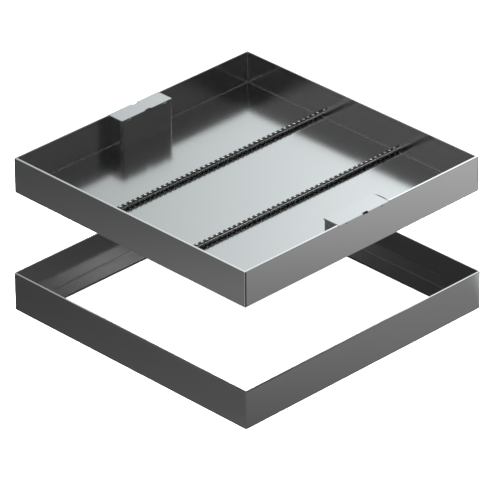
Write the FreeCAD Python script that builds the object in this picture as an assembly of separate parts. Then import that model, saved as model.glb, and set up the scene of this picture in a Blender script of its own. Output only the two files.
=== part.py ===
import FreeCAD, Part
import math
import os

# Recessed paving cover in stainless steel, in millimetres. The origin is on the ground at the middle of
# the frame, +Z is up, the ribbed bars run along Y and the lifting boxes stand on the walls at -X and +X.
Vector = FreeCAD.Vector

# Frame: four mitred angles, the wall outside and the seat flange turned inward at the ground
FRAME_OUTER = 600.0
FRAME_HEIGHT = 76.0
FRAME_WALL = 4.0
SEAT_REACH = 37.5  # from the frame's outer face to the edge of the clear opening
SEAT_THICKNESS = 5.0
FRAME_ROOT_RADIUS = 2.0
FRAME_HEEL_BEVEL = 0.5
FRAME_CORNER_RADIUS = 4.5  # the welded corner is dressed round

# Tray: four mitred angles and a floor plate that lies on their flanges
TRAY_CLEARANCE = 1.0  # all round, between the tray and the frame's wall
TRAY_HEIGHT = 71.0
TRAY_WALL = 5.0
TRAY_FLANGE_REACH = 40.0
TRAY_FLANGE_THICKNESS = 5.0
TRAY_ROOT_RADIUS = 2.5
TRAY_HEEL_BEVEL = 1.1  # lets the lowered tray pass the frame's root radius
CORNER_GROOVE_RADIUS = 1.2  # the sunk weld line down each vertical corner of the tray
FLOOR_THICKNESS = 3.0
FLOOR_EDGE_GAP = 0.3
TRAY_LIFT = 237.0  # how far the tray is held above its seat in the frame; 0 seats it

# Reinforcing bars that key the concrete bed to the floor
BAR_SPACING = 196.0
BARS_OFF_MIDDLE = 1.7  # the pair lies this much nearer the left wall
BAR_ROLL = -18.0  # half a flat of the core, which lifts the spine on the +X side
CORE_SIDES = 10  # the core's round is drawn with flats, one corner over each bend of a rib
CORE_CORNER_RADIUS = 4.4
RIB_HEIGHT = 0.8
RIB_PITCH = 12.2
RIB_BASE_WIDTH = 6.4
RIB_TOP_WIDTH = 3.6
RIB_ANGLE = 60.0  # between a rib and the bar's axis
RIB_FLATS = 3  # along a rib's crown
RIB_SPREAD = 78.0  # a rib dies out this many degrees from its crown, to either side
RIB_SUNK = 0.05  # a rib starts this far under the core's surface
SPINE_WIDTH = 1.6  # the plain rib that runs the length of the bar, on both sides
SPINE_HEIGHT = 0.7

# Lifting boxes, folded from sheet, and the plates that close them
BOX_LENGTH = 127.0
BOX_REACH = 38.0  # from the tray's outer face to the front of the box
BOX_SHEET = 3.0
BOX_FOLD_RADIUS = 1.5  # inside the fold
LIFT_PLATE_THICKNESS = 3.0
PLATE_END_GAP = 0.5  # between a plate and the ends of the pocket cut for it in the wall
PLATE_END_ROUND = 1.2  # on the upper edges at the sheared ends
NOTCH_WIDTH = 13.0
WALL_NOTCH_DEPTH = 4.0  # the notch over the box is as deep as the box's sheet is thick
NOTCH_OFF_MIDDLE = 3.3  # the notches lie this much nearer the back of the tray

EDGE_BREAK = 0.5  # sawn and sheared edges are broken by this much

# Places that follow from the sizes above
TRAY_OUTER = FRAME_OUTER - 2 * (FRAME_WALL + TRAY_CLEARANCE)
TRAY_INNER = TRAY_OUTER - 2 * TRAY_WALL
TRAY_BOTTOM = SEAT_THICKNESS + TRAY_LIFT
FLOOR_TOP = TRAY_BOTTOM + TRAY_FLANGE_THICKNESS + FLOOR_THICKNESS
TRAY_RIM = TRAY_BOTTOM + TRAY_HEIGHT

# Quarter turns from the front side (-Y) to each side of the square
SIDES = {"front": 0, "right": 1, "back": 2, "left": 3}


def outline(points):
    """Closed wire through the points; a point given as (middle, end) is reached by an arc."""
    edges = []
    last = points[-1][-1] if isinstance(points[-1], tuple) else points[-1]
    for point in points:
        if isinstance(point, tuple):
            middle, end = point
            edges.append(Part.Arc(last, middle, end).toShape())
            last = end
        else:
            edges.append(Part.LineSegment(last, point).toShape())
            last = point
    return Part.Wire(edges)


def angle_section(height, wall, reach, flange, root, heel):
    """Face across a rolled angle: outer face on y = 0, foot on z = 0, flange towards +Y."""
    cut = EDGE_BREAK
    slack = root * (1 - math.sqrt(0.5))
    return Part.Face(outline([
        Vector(0, heel, 0),
        Vector(0, 0, heel),
        Vector(0, 0, height - cut),
        Vector(0, cut, height),
        Vector(0, wall - cut, height),
        Vector(0, wall, height - cut),
        Vector(0, wall, flange + root),
        (Vector(0, wall + slack, flange + slack), Vector(0, wall + root, flange)),
        Vector(0, reach - cut, flange),
        Vector(0, reach, flange - cut),
        Vector(0, reach, 0),
    ]))


def mitred_front(section, outer, height):
    """Length of angle for the front side of a square, sawn at 45 degrees at both ends."""
    half = outer / 2
    face = section.translated(Vector(-half, -half, 0))
    length = face.extrude(Vector(outer, 0, 0))
    corners = [Vector(-half, -half, 0), Vector(half, -half, 0), Vector(0, 0, 0)]
    wedge = Part.Face(outline(corners)).extrude(Vector(0, 0, height))
    return length.common(wedge)


def rounded_square(outer, radius, height):
    """Square prism that stands on the ground, with its upright edges rounded."""
    block = Part.makeBox(outer, outer, height, Vector(-outer / 2, -outer / 2, 0))
    upright = [e for e in block.Edges if abs(e.Vertexes[0].Z - e.Vertexes[1].Z) > height / 2]
    return block.makeFillet(radius, upright)


def turned(shape, quarters):
    """Copy of the shape, turned about Z by quarter turns."""
    copy = shape.copy()
    copy.rotate(Vector(0, 0, 0), Vector(0, 0, 1), 90 * quarters)
    return copy


def frame_angles():
    """The four frame sides. The dressed corner takes half of its round from each of two sides."""
    section = angle_section(FRAME_HEIGHT, FRAME_WALL, SEAT_REACH, SEAT_THICKNESS,
                            FRAME_ROOT_RADIUS, FRAME_HEEL_BEVEL)
    front = mitred_front(section, FRAME_OUTER, FRAME_HEIGHT)
    front = front.common(rounded_square(FRAME_OUTER, FRAME_CORNER_RADIUS, FRAME_HEIGHT))
    return {"frame_angle_" + side: turned(front, n) for side, n in SIDES.items()}


def tray_angles():
    """The four tray sides, with half of a sunk weld line at each mitre. Two walls have a plate's pocket."""
    section = angle_section(TRAY_HEIGHT, TRAY_WALL, TRAY_FLANGE_REACH, TRAY_FLANGE_THICKNESS,
                            TRAY_ROOT_RADIUS, TRAY_HEEL_BEVEL)
    front = mitred_front(section, TRAY_OUTER, TRAY_HEIGHT)
    half = TRAY_OUTER / 2
    for x in (-half, half):
        front = front.cut(Part.makeCylinder(CORNER_GROOVE_RADIUS, TRAY_HEIGHT, Vector(x, -half, 0)))
    length = BOX_LENGTH + 2 * PLATE_END_GAP
    corner = Vector(-length / 2, -half, TRAY_HEIGHT - LIFT_PLATE_THICKNESS)
    pocketed = front.cut(Part.makeBox(length, TRAY_WALL, LIFT_PLATE_THICKNESS, corner))
    nodes = {}
    for side, quarters in SIDES.items():
        wall = pocketed if side in ("left", "right") else front
        nodes["tray_angle_" + side] = turned(wall, quarters).translated(Vector(0, 0, TRAY_BOTTOM))
    return nodes


def floor_plate():
    """Square plate on the tray's flanges, bevelled below where the angles' root radius is."""
    side = TRAY_INNER - 2 * FLOOR_EDGE_GAP
    bottom = FLOOR_TOP - FLOOR_THICKNESS
    plate = Part.makeBox(side, side, FLOOR_THICKNESS, Vector(-side / 2, -side / 2, bottom))
    rim = [e for e in plate.Edges if max(v.Z for v in e.Vertexes) < bottom + EDGE_BREAK]
    return plate.makeChamfer(TRAY_ROOT_RADIUS, rim)


def bar_point(place, turn, radius):
    """Point on a plane that slants across the bar, this many degrees from the bar's top."""
    turn = math.radians(turn)
    x = radius * math.sin(turn)
    return Vector(x, place + x / math.tan(math.radians(RIB_ANGLE)), radius * math.cos(turn))


def rib(place):
    """One rib, its crown upward: a ridge with sloping flanks, bent round the core flat by flat."""
    bends = [360 / CORE_SIDES * (n - RIB_FLATS / 2) for n in range(RIB_FLATS + 1)]
    ends = [-RIB_SPREAD] + bends + [RIB_SPREAD]
    rows = []
    for side in (-1, 1):
        foot_place = place + side * RIB_BASE_WIDTH / 2
        crown_place = place + side * RIB_TOP_WIDTH / 2
        foot = [bar_point(foot_place, turn, CORE_CORNER_RADIUS - RIB_SUNK) for turn in ends]
        crown = [bar_point(crown_place, turn, CORE_CORNER_RADIUS + RIB_HEIGHT) for turn in bends]
        rows.append((foot, crown))
    loops = []
    for foot, crown in rows:
        loops += [(foot[0], foot[1], crown[0]), (foot[-2], foot[-1], crown[-1])]
        loops += [(foot[n + 1], foot[n + 2], crown[n + 1], crown[n]) for n in range(RIB_FLATS)]
    for near, far in zip(*rows):
        loops += [(near[n], near[n + 1], far[n + 1], far[n]) for n in range(len(near) - 1)]
    (foot, crown), (far_foot, far_crown) = rows
    loops += [(foot[n], crown[n], far_crown[n], far_foot[n]) for n in (0, -1)]
    solid = Part.Solid(Part.Shell([Part.Face(Part.makePolygon(list(loop) + [loop[0]])) for loop in loops]))
    if solid.Volume < 0:
        solid.reverse()
    return solid


def ribbed_bar():
    """Reinforcing bar along Y about the origin: a core, two spines and two rows of ribs."""
    half = TRAY_INNER / 2
    turns = [math.radians(360 / CORE_SIDES * n) for n in range(CORE_SIDES)]
    corners = [Vector(math.cos(turn), 0, math.sin(turn)) * CORE_CORNER_RADIUS for turn in turns]
    face = Part.Face(outline(corners)).translated(Vector(0, -half, 0))
    core = face.extrude(Vector(0, TRAY_INNER, 0))
    reach = CORE_CORNER_RADIUS + SPINE_HEIGHT
    spines = Part.makeBox(2 * reach, TRAY_INNER, SPINE_WIDTH, Vector(-reach, -half, -SPINE_WIDTH / 2))
    count = int(TRAY_INNER / RIB_PITCH)
    first = -(count - 1) * RIB_PITCH / 2
    pieces = [spines]
    for n in range(count):
        crown_up = rib(first + n * RIB_PITCH)
        pieces += [crown_up, turned_over(crown_up)]
    return core.multiFuse(pieces)


def turned_over(shape):
    """Copy of the shape, turned half round the bar's axis."""
    copy = shape.copy()
    copy.rotate(Vector(0, 0, 0), Vector(0, 1, 0), 180)
    return copy


def bars():
    """Two bars that lie on the floor on the corners of their ribs, from wall to wall."""
    bar = ribbed_bar()
    bar.rotate(Vector(0, 0, 0), Vector(0, 1, 0), BAR_ROLL)
    height = FLOOR_TOP + CORE_CORNER_RADIUS + RIB_HEIGHT
    places = {"ribbed_bar_left": -BAR_SPACING / 2, "ribbed_bar_right": BAR_SPACING / 2}
    return {name: bar.translated(Vector(x - BARS_OFF_MIDDLE, 0, height)) for name, x in places.items()}


def folded_casing():
    """Lifting box at the +X wall: a sheet folded round three sides, open to the wall, floor to plate."""
    front = TRAY_OUTER / 2 - BOX_REACH
    back = TRAY_INNER / 2
    height = TRAY_RIM - LIFT_PLATE_THICKNESS - FLOOR_TOP
    outer = Part.makeBox(back - front, BOX_LENGTH, height, Vector(front, -BOX_LENGTH / 2, FLOOR_TOP))
    inner = Part.makeBox(back - front, BOX_LENGTH - 2 * BOX_SHEET, height,
                         Vector(front + BOX_SHEET, BOX_SHEET - BOX_LENGTH / 2, FLOOR_TOP))
    outer = outer.makeFillet(BOX_FOLD_RADIUS + BOX_SHEET, upright_edges_at(outer, front))
    inner = inner.makeFillet(BOX_FOLD_RADIUS, upright_edges_at(inner, front + BOX_SHEET))
    return outer.cut(inner)


def upright_edges_at(block, x):
    """The block's upright edges at this x."""
    return [e for e in block.Edges
            if all(abs(v.X - x) < EDGE_BREAK for v in e.Vertexes)
            and abs(e.Vertexes[0].Z - e.Vertexes[1].Z) > EDGE_BREAK]


def lifting_plate(notched_edges, notch_y):
    """Lifting plate at the +X wall, flush with the rim. A notch in a long edge bares what carries it."""
    front = TRAY_OUTER / 2 - BOX_REACH
    bottom = TRAY_RIM - LIFT_PLATE_THICKNESS
    plate = Part.makeBox(BOX_REACH, BOX_LENGTH, LIFT_PLATE_THICKNESS, Vector(front, -BOX_LENGTH / 2, bottom))
    ends = [e for e in plate.Edges
            if all(abs(v.Z - TRAY_RIM) < EDGE_BREAK for v in e.Vertexes)
            and abs(e.Vertexes[0].Y - e.Vertexes[1].Y) < EDGE_BREAK]
    plate = plate.makeFillet(PLATE_END_ROUND, ends)
    notches = {"wall": (TRAY_OUTER / 2 - WALL_NOTCH_DEPTH, WALL_NOTCH_DEPTH), "box": (front, BOX_SHEET)}
    for edge in notched_edges:
        x, depth = notches[edge]
        corner = Vector(x, notch_y - NOTCH_WIDTH / 2, bottom)
        plate = plate.cut(Part.makeBox(depth, NOTCH_WIDTH, LIFT_PLATE_THICKNESS, corner))
    return plate


def lifting_points():
    """A box and its plate at the +X wall. Those at the -X wall are turned round, with one notch more."""
    plates = {"right": lifting_plate(["wall"], NOTCH_OFF_MIDDLE),
              "left": lifting_plate(["wall", "box"], -NOTCH_OFF_MIDDLE)}
    nodes = {}
    for side, quarters in (("right", 0), ("left", 2)):
        nodes["lifting_box_" + side] = turned(folded_casing(), quarters)
        nodes["lifting_plate_" + side] = turned(plates[side], quarters)
    return nodes


def main():
    os.makedirs("parts", exist_ok=True)
    nodes = {"tray_floor_plate": floor_plate()}
    for group in (frame_angles(), tray_angles(), bars(), lifting_points()):
        nodes.update(group)
    for name, shape in nodes.items():
        solids = shape.Solids
        print(name, "solids", len(solids), "valid", shape.isValid(), "volume", round(shape.Volume))
        shape.exportStep("parts/" + name + ".step")


main()
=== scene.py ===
import math

import bmesh
import bpy
from mathutils import Matrix, Vector


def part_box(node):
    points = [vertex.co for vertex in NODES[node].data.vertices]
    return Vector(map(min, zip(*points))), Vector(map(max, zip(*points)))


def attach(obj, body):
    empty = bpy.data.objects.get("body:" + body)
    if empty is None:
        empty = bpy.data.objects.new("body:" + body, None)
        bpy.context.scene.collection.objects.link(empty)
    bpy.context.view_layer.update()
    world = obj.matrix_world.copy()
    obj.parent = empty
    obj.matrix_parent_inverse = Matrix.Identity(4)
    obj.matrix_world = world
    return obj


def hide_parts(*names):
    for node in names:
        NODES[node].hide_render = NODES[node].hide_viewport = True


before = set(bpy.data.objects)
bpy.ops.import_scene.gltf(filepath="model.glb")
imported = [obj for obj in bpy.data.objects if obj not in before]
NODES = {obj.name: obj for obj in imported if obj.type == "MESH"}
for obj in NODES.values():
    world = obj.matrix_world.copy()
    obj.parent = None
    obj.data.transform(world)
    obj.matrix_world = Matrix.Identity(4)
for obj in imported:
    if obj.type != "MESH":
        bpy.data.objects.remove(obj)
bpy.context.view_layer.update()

# Recessed paving cover: the satin steel tray is held above its frame, over a white floor, with the studio's
# light and shade given by cards that only the steel mirrors.
MM = 0.001

# Heights and faces of the model, from the nodes that carry them
FRAME_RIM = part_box("frame_angle_front")[1].z
FRAME_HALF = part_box("frame_angle_front")[1].x
TRAY_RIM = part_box("tray_angle_front")[1].z
TRAY_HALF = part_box("tray_angle_front")[1].x
TRAY_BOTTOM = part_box("tray_angle_front")[0].z
TRAY_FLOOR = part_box("tray_floor_plate")[1].z
FLOOR_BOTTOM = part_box("tray_floor_plate")[0].z
BOX_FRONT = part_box("lifting_box_left")[1].x * -1
BOX_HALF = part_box("lifting_box_left")[1].y
TRAY_WALL = 5 * MM
WALL_FACE = TRAY_HALF - TRAY_WALL
PLATE_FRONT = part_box("lifting_plate_right")[0].x
PLATE_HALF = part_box("lifting_plate_right")[1].y
PLATE_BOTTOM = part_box("lifting_plate_right")[0].z

# Ribbed bar, drawn round here and in flats in the CAD model
BAR_CORE = 4.4 * MM
BAR_RIB_HEIGHT = 0.8 * MM
BAR_RIB_PITCH = 12.2 * MM
BAR_RIB_BASE = 5.2 * MM
BAR_RIB_TOP = 2.6 * MM
BAR_RIB_ANGLE = math.radians(60)
BAR_RIB_SPREAD = math.radians(80)
BAR_SPINE_WIDTH = 1.6 * MM
BAR_SPINE_HEIGHT = 0.65 * MM
# Width of the painted highlight along each spine
BAR_SPINE_HIGHLIGHT = 2.1 * MM
BAR_ROLL = {"left": math.radians(-10), "right": math.radians(-20)}

# Painted shade between the ribs, in degrees from their row's crest, and how strong the painted highlights and shade
# are
SHADE_EDGE = (48, 66)
SPINE_HIGHLIGHT_LEVEL = 0.8
LOWER_HIGHLIGHT_LEVEL = 1.0
LOWER_SHADE_LEVEL = 0.6

# Welds
SEAM_LEG = 1.1 * MM
TACK_SIZE = Vector((3.0, 10.0, 2.6)) * MM
TACK_FROM_END = 19 * MM
END_WELD_SIZE = Vector((38.0, 8.0, 4.4)) * MM

# Steel
STEEL = "#d6d6d6"
# Rim top painted brighter than the sheet: painted highlight
RIM_PAINTED_HIGHLIGHT = "#f2f2f2"
# Lighter steel for the left lifting plate than for the right: painted light on two copies of one steel
PLATE_PAINTED_LIGHT = {"left": "#e2e2e2", "right": "#d8d8d8"}
# Beside the corner grooves: painted highlight on the front and back angles, painted shade on the left and right ones
GROOVE_PAINTED_LIGHT = {"x": "#ffffff", "y": "#444444"}
GROOVE_BAND = {"x": 1.6 * MM, "y": 2.4 * MM}
# Dark grey at the boxes' far folds: painted shade
FOLD_PAINTED_SHADE = "#585858"
BAR_DULL = "#b4b4b2"
# Dark grey between the bar's ribs, lighter on its lower side: painted shade
BAR_PAINTED_SHADE = "#4a4a48"
# Near white on the bar's crowns and spines: painted highlight
BAR_PAINTED_HIGHLIGHT = "#eaeaea"
# Near-black bead at the right plate's far end: painted shade
END_BEAD_SHADE = "#1e1c1a"
SATIN = 0.17
MILL_SKIN = 0.4
MATT = 0.4
SKIN_DEPTH = 0.5 * MM
FOLD_OUTSIDE = 4.5 * MM
FOLD_FADE = 3.2 * MM

# Studio: brightness that the steel mirrors, against the distance across the picture or over the ground
COOL_WHITE = "#f7feff"
BACK_CARD = ((-2.0, 0.14), (-0.9, 0.271), (0.0, 0.904), (0.9, 1.626), (2.0, 2.136))
GROUND_NEAR = ((-0.7, 0.067), (-0.4, 0.089), (-0.1, 0.113), (0.1, 0.152), (0.4, 0.214), (0.7, 0.259), (1.4, 0.493))
GROUND_FAR = ((-1.3, 0.09), (-1.0, 0.135), (-0.7, 0.205), (0.7, 0.274), (1.0, 0.411), (1.3, 0.538), (2.0, 0.739))
GROUND_INSIDE = ((-0.25, 0.082), (0.0, 0.053), (0.22, 0.035))
GROUND_BEHIND = ((0.3, 0.0), (0.4, 0.9), (0.5, 0.45), (0.6, 0.3), (0.9, 0.2))
NEAR_REACH = 0.36
FAR_REACH = 0.62
LEFT_GLOW = 0.14
RIGHT_GLOW = 0.077
TOP_GLOW = 2.2
ROOM_GLOW = 0.026

# Camera, fitted to the photograph's straight edges
CAMERA_AZIMUTH = math.radians(45.5024)
CAMERA_ELEVATION = math.radians(29.5087)
CAMERA_ROLL = math.radians(-0.443)
CAMERA_DISTANCE = 9.5152
CAMERA_RIGHT = 0.00537
CAMERA_UP = 0.0397
SENSOR_WIDTH = 36.0
PHOTO_WIDTH = 500
FOCAL_PIXELS = 5247.38

AWAY = Vector((-math.sin(CAMERA_AZIMUTH), math.cos(CAMERA_AZIMUTH), 0))
RIGHT = Vector((math.cos(CAMERA_AZIMUTH), math.sin(CAMERA_AZIMUTH), 0))
RISE = Vector((0, 0, 1))


def linear(code):
    """Linear RGBA of an sRGB hex colour."""
    values = [int(code[n:n + 2], 16) / 255 for n in (1, 3, 5)]
    return [v / 12.92 if v <= 0.04045 else ((v + 0.055) / 1.055) ** 2.4 for v in values] + [1.0]


def node(tree, kind, settings=None, **inputs):
    """Add a node. An input, named or n and its number, is a value or another node's output socket."""
    made = tree.nodes.new(kind)
    for name, value in (settings or {}).items():
        setattr(made, name, value)
    for name, value in inputs.items():
        socket = made.inputs[int(name[1:])] if name[1:].isdigit() else made.inputs[name.replace("_", " ")]
        if isinstance(value, bpy.types.NodeSocket):
            tree.links.new(value, socket)
        else:
            socket.default_value = value
    return made


def new_material(name):
    """Material with an empty node tree, its tree and its output node."""
    material = bpy.data.materials.new(name)
    material.use_nodes = True
    tree = material.node_tree
    tree.nodes.clear()
    return material, tree, tree.nodes.new("ShaderNodeOutputMaterial")


def maths(tree, operation, first, second=0.0):
    """Output of a math node."""
    return node(tree, "ShaderNodeMath", {"operation": operation}, n0=first, n1=second).outputs["Value"]


def spread(tree, value, low, high, start, end):
    """The value's span from low to high, mapped to start to end."""
    made = node(tree, "ShaderNodeMapRange", n0=value, n1=low, n2=high, n3=start, n4=end)
    return made.outputs["Result"]


def blend(tree, factor, first, second):
    """Colour between two colours, each a value or an output socket."""
    mix = node(tree, "ShaderNodeMix", {"data_type": "RGBA"}, n0=factor, n6=first, n7=second)
    return mix.outputs[2]


def curve(tree, value, points):
    """The value's level on a line through points of (value, level)."""
    low, high = points[0][0], points[-1][0]
    ramp = tree.nodes.new("ShaderNodeValToRGB")
    stops = ramp.color_ramp.elements
    while len(stops) < len(points):
        stops.new(0.5)
    top = max(level for _, level in points)
    for stop, (place, level) in zip(stops, points):
        stop.position = (place - low) / (high - low)
        stop.color = [level / top] * 3 + [1.0]
    tree.links.new(spread(tree, value, low, high, 0.0, 1.0), ramp.inputs["Fac"])
    return maths(tree, "MULTIPLY", ramp.outputs["Color"], top)


def above(height):
    """Mask of what lies above a height."""
    return lambda tree, parts: maths(tree, "GREATER_THAN", parts["Z"], height)


def below(height):
    """Mask of what lies below a height."""
    return lambda tree, parts: maths(tree, "LESS_THAN", parts["Z"], height)


def at_ends(axis, band):
    """Mask of a band at both ends of an angle's length, beside the groove at its mitre, where the painted highlight
    and painted shade lie.
    """
    return lambda tree, parts: maths(tree, "GREATER_THAN", maths(tree, "ABSOLUTE", parts[axis]), TRAY_HALF - band)


def fold_shade_mask(tree, parts):
    """Mask of the painted shade on the lifting boxes' far upright folds, which grows round the bend."""
    front = maths(tree, "LESS_THAN", maths(tree, "ABSOLUTE", parts["X"]), BOX_FRONT + FOLD_OUTSIDE)
    bend = spread(tree, parts["Y"], BOX_HALF - FOLD_OUTSIDE, BOX_HALF - FOLD_OUTSIDE + FOLD_FADE, 0.0, 1.0)
    return maths(tree, "MULTIPLY", front, bend)


def steel(name, grain, colour=STEEL, patches=()):
    """Stainless steel with a rolled grain, which gives the lengths in mm of its noise along X, Y and Z.
    Each patch is a mask, and the colour and roughness that the steel has there."""
    material, tree, output = new_material(name)
    place = node(tree, "ShaderNodeTexCoord").outputs["Object"]
    along = node(tree, "ShaderNodeMapping", Vector=place, Scale=[1 / (length * MM) for length in grain])
    lines = node(tree, "ShaderNodeTexNoise", Vector=along.outputs["Vector"], Scale=1.0, Detail=3.0)
    clouds = node(tree, "ShaderNodeTexNoise", Vector=place, Scale=1 / (90 * MM), Detail=2.0)
    both = maths(tree, "ADD", lines.outputs["Fac"], clouds.outputs["Fac"])
    rough = spread(tree, both, 0.6, 1.4, SATIN - 0.015, SATIN + 0.015)
    parts = node(tree, "ShaderNodeSeparateXYZ", Vector=place).outputs
    shade = linear(colour)
    for mask, patch_colour, patch_rough in patches:
        level = mask(tree, parts)
        shade = blend(tree, level, shade, linear(patch_colour))
        rough = maths(tree, "ADD", rough, maths(tree, "MULTIPLY", level, patch_rough - SATIN))
    shader = node(tree, "ShaderNodeBsdfPrincipled", Base_Color=shade, Metallic=1.0, Roughness=rough)
    tree.links.new(shader.outputs["BSDF"], output.inputs["Surface"])
    return material


def bar_steel():
    """Hot rolled bar: a dull core, painted shade between the ribs, and painted highlights on the crowns and spines,
    which are also smoother.
    """
    material, tree, output = new_material("ribbed bar steel")
    painted_highlight = node(tree, "ShaderNodeAttribute", {"attribute_name": "painted_highlight"}).outputs["Fac"]
    scale = node(tree, "ShaderNodeAttribute", {"attribute_name": "scale"}).outputs["Fac"]
    # Painted shade between the ribs
    core = blend(tree, scale, linear(BAR_DULL), linear(BAR_PAINTED_SHADE))
    # Painted highlight on the crowns and spines, which are also smoother
    colour = blend(tree, painted_highlight, core, linear(BAR_PAINTED_HIGHLIGHT))
    rough = spread(tree, painted_highlight, 0.0, 1.0, 0.3, 0.14)
    shader = node(tree, "ShaderNodeBsdfPrincipled", Base_Color=colour, Metallic=1.0, Roughness=rough)
    tree.links.new(shader.outputs["BSDF"], output.inputs["Surface"])
    return material


def weld_steel(name, colour):
    """Weld bead: rippled and less smooth than the sheet."""
    material, tree, output = new_material(name)
    place = node(tree, "ShaderNodeTexCoord").outputs["Object"]
    ripple = node(tree, "ShaderNodeTexNoise", Vector=place, Scale=1 / (2 * MM), Detail=2.0)
    bump = node(tree, "ShaderNodeBump", Height=ripple.outputs["Fac"], Strength=0.1, Distance=0.3 * MM)
    shader = node(tree, "ShaderNodeBsdfPrincipled", Base_Color=linear(colour), Metallic=1.0, Roughness=0.3,
                  Normal=bump.outputs["Normal"])
    tree.links.new(shader.outputs["BSDF"], output.inputs["Surface"])
    return material


def paint(name, material):
    """Give a CAD node its material."""
    slots = NODES[name].data.materials
    slots.clear()
    slots.append(material)


def dress_nodes():
    """Each node gets the steel it is made of, with the grain along its own length. The rim top is painted bright as a
    highlight, the underside keeps the mill's skin, and the boxes' far folds have painted shade and are rougher.
    Beside the tray's corner grooves one angle has a painted highlight, and the other has painted shade."""
    long_way, fine = 60.0, 0.5
    ways = {"x": (long_way, fine, fine), "y": (fine, long_way, fine)}
    for way, sides in (("x", ("front", "back")), ("y", ("left", "right"))):
        frame_steel = steel("frame angle steel " + way, ways[way])
        # The angles' ends beside the corner grooves carry painted highlight on the front and back, painted shade on
        # the left and right
        tray_steel = steel("tray angle steel " + way, ways[way], patches=(
            (at_ends(way.upper(), GROOVE_BAND[way]), GROOVE_PAINTED_LIGHT[way], SATIN),
            # Painted highlight on the rim top
            (above(TRAY_RIM - SKIN_DEPTH), RIM_PAINTED_HIGHLIGHT, SATIN), (below(TRAY_BOTTOM + SKIN_DEPTH), STEEL, MILL_SKIN)))
        for side in sides:
            paint("frame_angle_" + side, frame_steel)
            paint("tray_angle_" + side, tray_steel)
    # The boxes' sheet is painted dark at its far folds: painted shade, also rougher
    sheet = steel("satin folded sheet", ways["y"], patches=((fold_shade_mask, FOLD_PAINTED_SHADE, MATT),))
    paint("tray_floor_plate", steel("satin floor plate", ways["y"], patches=(
        (below(FLOOR_BOTTOM + SKIN_DEPTH), STEEL, MILL_SKIN),)))
    for side in ("left", "right"):
        paint("lifting_box_" + side, sheet)
        # The two plates get lighter and darker copies of one steel: painted light
        paint("lifting_plate_" + side, steel("lifting plate with painted light " + side, ways["y"], PLATE_PAINTED_LIGHT[side]))


def as_object(mesh, name):
    """Turn a bmesh into an object of the scene."""
    data = bpy.data.meshes.new(name)
    mesh.to_mesh(data)
    mesh.free()
    obj = bpy.data.objects.new(name, data)
    bpy.context.scene.collection.objects.link(obj)
    return obj


def smooth(low, high, value):
    """Smooth step from 0 at low to 1 at high."""
    t = min(max((value - low) / (high - low), 0.0), 1.0)
    return t * t * (3 - 2 * t)


def rib_level(turn, along):
    """How much of the rib's height stands at this turn from its row's crest and this place on the bar."""
    if abs(turn) >= BAR_RIB_SPREAD:
        return 0.0
    place = along - BAR_CORE * math.sin(turn) / math.tan(BAR_RIB_ANGLE)
    from_rib = abs(place - BAR_RIB_PITCH * round(place / BAR_RIB_PITCH))
    across = 1 - smooth(BAR_RIB_TOP / 2, BAR_RIB_BASE / 2, from_rib)
    return across * min(1.0, 1.6 * math.cos(turn / BAR_RIB_SPREAD * math.pi / 2))


def spine_level(turn, width=BAR_SPINE_WIDTH):
    """How much of the spine's height, or of a band as wide, stands at this turn from the row's crest."""
    from_spine = abs(abs(turn) - math.pi / 2) * BAR_CORE
    return 1 - smooth(0.3 * width, 0.5 * width, from_spine)


def ribbed_bar(side, material):
    """Fine mesh of a ribbed bar in its CAD node's place: a sheet rolled to a tube and raised at the ribs."""
    node_name = "ribbed_bar_" + side
    low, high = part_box(node_name)
    axis_x = (low.x + high.x) / 2
    axis_z = TRAY_FLOOR + BAR_CORE + BAR_RIB_HEIGHT
    length = high.y - low.y
    around, rows = 110, int(length / (0.7 * MM))
    roll = BAR_ROLL[side]
    mesh = bmesh.new()
    bmesh.ops.create_grid(mesh, x_segments=around, y_segments=rows, size=0.5)
    painted_highlight = mesh.verts.layers.float.new("painted_highlight")
    scale = mesh.verts.layers.float.new("scale")
    for vert in mesh.verts:
        turn = 2 * math.pi * (vert.co.x + 0.5) - math.pi
        along = vert.co.y * length
        row = turn if abs(turn) < math.pi / 2 else turn - math.copysign(math.pi, turn)
        rib = rib_level(row, along)
        spine = spine_level(row)
        upper = abs(turn) < math.pi / 2
        # Painted highlight on the rib crowns and along the spines
        crown_highlight = 1.0 if upper else LOWER_HIGHLIGHT_LEVEL
        shade_depth = 1.0 if upper else LOWER_SHADE_LEVEL
        spine_highlight = SPINE_HIGHLIGHT_LEVEL * spine_level(row, BAR_SPINE_HIGHLIGHT)
        vert[painted_highlight] = max(crown_highlight * smooth(0.6, 1.0, rib), spine_highlight)
        # Painted shade between the ribs, weaker on the bar's lower side
        vert[scale] = shade_depth * (1 - smooth(*SHADE_EDGE, abs(math.degrees(row))))
        radius = BAR_CORE + max(BAR_RIB_HEIGHT * rib, BAR_SPINE_HEIGHT * spine)
        vert.co = (axis_x + radius * math.sin(turn + roll), along, axis_z + radius * math.cos(turn + roll))
    bmesh.ops.remove_doubles(mesh, verts=mesh.verts, dist=0.01 * MM)
    bmesh.ops.holes_fill(mesh, edges=mesh.edges)
    bmesh.ops.recalc_face_normals(mesh, faces=mesh.faces)
    for face in mesh.faces:
        face.smooth = len(face.verts) == 4
    obj = as_object(mesh, "fine_bar_" + side)
    obj.data.materials.append(material)
    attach(obj, "root")
    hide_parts(node_name)


def bead(mesh, middle, size):
    """Rounded weld bead about a point, with its full size along X, Y and Z."""
    shape = Matrix.Translation(middle) @ Matrix.Diagonal((size[0], size[1], size[2], 1))
    bmesh.ops.create_uvsphere(mesh, u_segments=20, v_segments=12, radius=0.5, matrix=shape)


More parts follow.
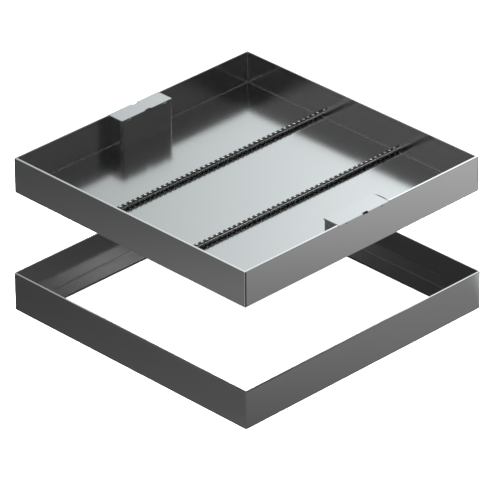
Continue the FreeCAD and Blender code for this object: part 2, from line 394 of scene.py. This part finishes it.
def seam(mesh, start, end):
    """Flat fillet weld along a corner: a square rod on edge, whose outer half is sunk in the two faces."""
    way = end - start
    turn = way.to_track_quat("Z", "Y").to_matrix().to_4x4()
    shape = Matrix.Translation((start + end) / 2) @ turn
    bmesh.ops.create_cone(mesh, cap_ends=True, segments=4, radius1=SEAM_LEG, radius2=SEAM_LEG,
                          depth=way.length, matrix=shape)


def weld_piece(name, mesh, material):
    """A piece of weld on the tray."""
    obj = as_object(mesh, name)
    obj.data.materials.append(material)
    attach(obj, "root")


def welds(material):
    """Seams between the floor and the walls and down the inner corners, and tacks on the lifting plates."""
    corners = [Vector((x, y, 0)) * WALL_FACE for x, y in ((-1, -1), (1, -1), (1, 1), (-1, 1))]
    seams = bmesh.new()
    for n, corner in enumerate(corners):
        bottom = corner + RISE * TRAY_FLOOR
        seam(seams, bottom, corners[n - 1] + RISE * TRAY_FLOOR)
        seam(seams, bottom, corner + RISE * (TRAY_RIM - 0.7 * MM))
    weld_piece("seam_welds", seams, material)
    for word, side in (("left", -1), ("right", 1)):
        tacks = bmesh.new()
        for x in (PLATE_FRONT, TRAY_HALF):
            for y in (-1, 1):
                middle = Vector((side * x, y * (PLATE_HALF - TACK_FROM_END), PLATE_BOTTOM))
                bead(tacks, middle, TACK_SIZE)
        for face in tacks.faces:
            face.smooth = True
        weld_piece("tack_welds_" + word, tacks, material)


def end_weld(material):
    """Bead that closes the right box at the far end of its plate, coloured near black: painted shade along the
    plate's far end.
    """
    mesh = bmesh.new()
    middle = Vector(((PLATE_FRONT + WALL_FACE) / 2, PLATE_HALF, TRAY_RIM - END_WELD_SIZE.z / 2))
    bead(mesh, middle, END_WELD_SIZE)
    for face in mesh.faces:
        face.smooth = True
    weld_piece("end_weld_right", mesh, material)


def floor():
    """Plain pale floor under the frame. The steel mirrors the ground card in its place."""
    mesh = bmesh.new()
    bmesh.ops.create_grid(mesh, x_segments=1, y_segments=1, size=12.0)
    obj = as_object(mesh, "studio_floor")
    material, tree, output = new_material("pale studio floor")
    shader = node(tree, "ShaderNodeBsdfDiffuse", Color=linear("#f4f4f4"))
    tree.links.new(shader.outputs["BSDF"], output.inputs["Surface"])
    obj.data.materials.append(material)
    obj.visible_glossy = False


def card(name, centre, across, up, size, colour, levels):
    """Lit card that only the steel mirrors. A function of its tree and its place in metres gives its levels."""
    mesh = bmesh.new()
    bmesh.ops.create_grid(mesh, x_segments=1, y_segments=1, size=0.5)
    turn = Matrix((across, up, across.cross(up))).transposed().to_4x4()
    obj = as_object(mesh, name)
    obj.matrix_world = Matrix.Translation(centre) @ turn @ Matrix.Diagonal((size[0], size[1], 1, 1))
    material, tree, output = new_material(name + " glow")
    place = node(tree, "ShaderNodeTexCoord").outputs["Object"]
    metres = node(tree, "ShaderNodeVectorMath", {"operation": "MULTIPLY"}, n0=place, n1=(size[0], size[1], 1.0))
    parts = node(tree, "ShaderNodeSeparateXYZ", Vector=metres.outputs["Vector"])
    strength = levels(tree, parts.outputs["X"], parts.outputs["Y"])
    shader = node(tree, "ShaderNodeEmission", Color=linear(colour), Strength=strength)
    tree.links.new(shader.outputs["Emission"], output.inputs["Surface"])
    obj.data.materials.append(material)
    obj.visible_camera = False
    obj.visible_diffuse = False
    obj.visible_shadow = False


def back_levels(tree, across, up):
    """The back card brightens from left to right."""
    return curve(tree, across, BACK_CARD)


def ground_levels(tree, x, y):
    """The ground brightens towards +X and +Y, darker beside the frame and darkest inside it."""
    both = maths(tree, "ADD", x, y)
    reach = maths(tree, "MAXIMUM", maths(tree, "ABSOLUTE", x), maths(tree, "ABSOLUTE", y))
    far = node(tree, "ShaderNodeMapRange", {"interpolation_type": "SMOOTHSTEP"}, n0=reach, n1=NEAR_REACH,
               n2=FAR_REACH).outputs["Result"]
    near_level = curve(tree, both, GROUND_NEAR)
    far_level = curve(tree, both, GROUND_FAR)
    change = maths(tree, "MULTIPLY", maths(tree, "SUBTRACT", far_level, near_level), far)
    left_of_corner = spread(tree, maths(tree, "SUBTRACT", y, x), -0.01, 0.02, 0.0, 1.0)
    patch = maths(tree, "MULTIPLY", left_of_corner, spread(tree, x, 0.45, 0.55, 1.0, 0.0))
    behind = maths(tree, "MULTIPLY", curve(tree, y, GROUND_BEHIND), patch)
    outside = maths(tree, "ADD", maths(tree, "ADD", near_level, change), behind)
    within = maths(tree, "LESS_THAN", reach, FRAME_HALF)
    inside = maths(tree, "MULTIPLY", maths(tree, "SUBTRACT", curve(tree, y, GROUND_INSIDE), outside), within)
    return maths(tree, "ADD", outside, inside)


def even_levels(level):
    """The same level all over a card."""
    return lambda tree, across, up: maths(tree, "ADD", level, 0.0)


def cards():
    """Back card for the floor and plates, side cards for the inner walls and a ground card for the outer ones."""
    middle = RISE * TRAY_FLOOR
    for name, way, size, colour, levels in (
            ("back_card", AWAY, (4.0, 3.0), COOL_WHITE, back_levels),
            ("left_card", -RIGHT, (3.0, 2.4), "#ffffff", even_levels(LEFT_GLOW)),
            ("right_card", RIGHT, (3.0, 2.4), "#ffffff", even_levels(RIGHT_GLOW))):
        across = RISE.cross(-way)
        out = way * math.cos(CAMERA_ELEVATION) + RISE * math.sin(CAMERA_ELEVATION)
        card(name, middle + out * 2.5, across, out.cross(across), size, colour, levels)
    x_way, y_way = Vector((1, 0, 0)), Vector((0, 1, 0))
    card("ground_card", RISE * -2 * MM, x_way, y_way, (6.0, 6.0), "#ffffff", ground_levels)
    card("top_card", RISE * 2.8 - y_way * 0.9, x_way, y_way, (1.6, 2.4), "#ffffff", even_levels(TOP_GLOW))


def lights():
    """Broad soft lights over the floor, and a dim room."""
    for name, place, power in (("top_light", (0, 0, 4.0), 900), ("left_light", (-4.0, -1.0, 2.5), 500),
                               ("right_light", (2.0, 4.0, 2.5), 500), ("front_light", (3.0, -3.0, 2.5), 500)):
        data = bpy.data.lights.new(name, "AREA")
        data.shape = "DISK"
        data.size = 4.0
        data.energy = power
        obj = bpy.data.objects.new(name, data)
        bpy.context.scene.collection.objects.link(obj)
        obj.location = place
        obj.rotation_euler = (-Vector(place)).to_track_quat("-Z", "Y").to_euler()
        obj.visible_glossy = False
    world = bpy.data.worlds.new("dim room")
    bpy.context.scene.world = world
    world.use_nodes = True
    tree = world.node_tree
    tree.nodes.clear()
    output = tree.nodes.new("ShaderNodeOutputWorld")
    background = node(tree, "ShaderNodeBackground", Color=linear("#ffffff"), Strength=ROOM_GLOW)
    tree.links.new(background.outputs["Background"], output.inputs["Surface"])


def camera():
    """Camera at the photograph's viewing angle."""
    data = bpy.data.cameras.new("camera")
    data.sensor_fit = "HORIZONTAL"
    data.sensor_width = SENSOR_WIDTH
    data.lens = FOCAL_PIXELS / PHOTO_WIDTH * SENSOR_WIDTH
    data.clip_end = 100.0
    back = RISE * math.sin(CAMERA_ELEVATION) - AWAY * math.cos(CAMERA_ELEVATION)
    up = back.cross(RIGHT)
    place = back * CAMERA_DISTANCE + RIGHT * CAMERA_RIGHT + up * CAMERA_UP + RISE * FRAME_RIM
    turn = Matrix((RIGHT, up, back)).transposed() @ Matrix.Rotation(CAMERA_ROLL, 3, "Z")
    obj = bpy.data.objects.new("camera", data)
    obj.matrix_world = Matrix.Translation(place) @ turn.to_4x4()
    bpy.context.scene.collection.objects.link(obj)
    bpy.context.scene.camera = obj


dress_nodes()
bar_material = bar_steel()
for bar_side in ("left", "right"):
    ribbed_bar(bar_side, bar_material)
welds(weld_steel("brushed weld bead", STEEL))
end_weld(weld_steel("end bead with painted shade", END_BEAD_SHADE))
floor()
cards()
lights()
camera()
bpy.context.scene.view_settings.view_transform = "Standard"
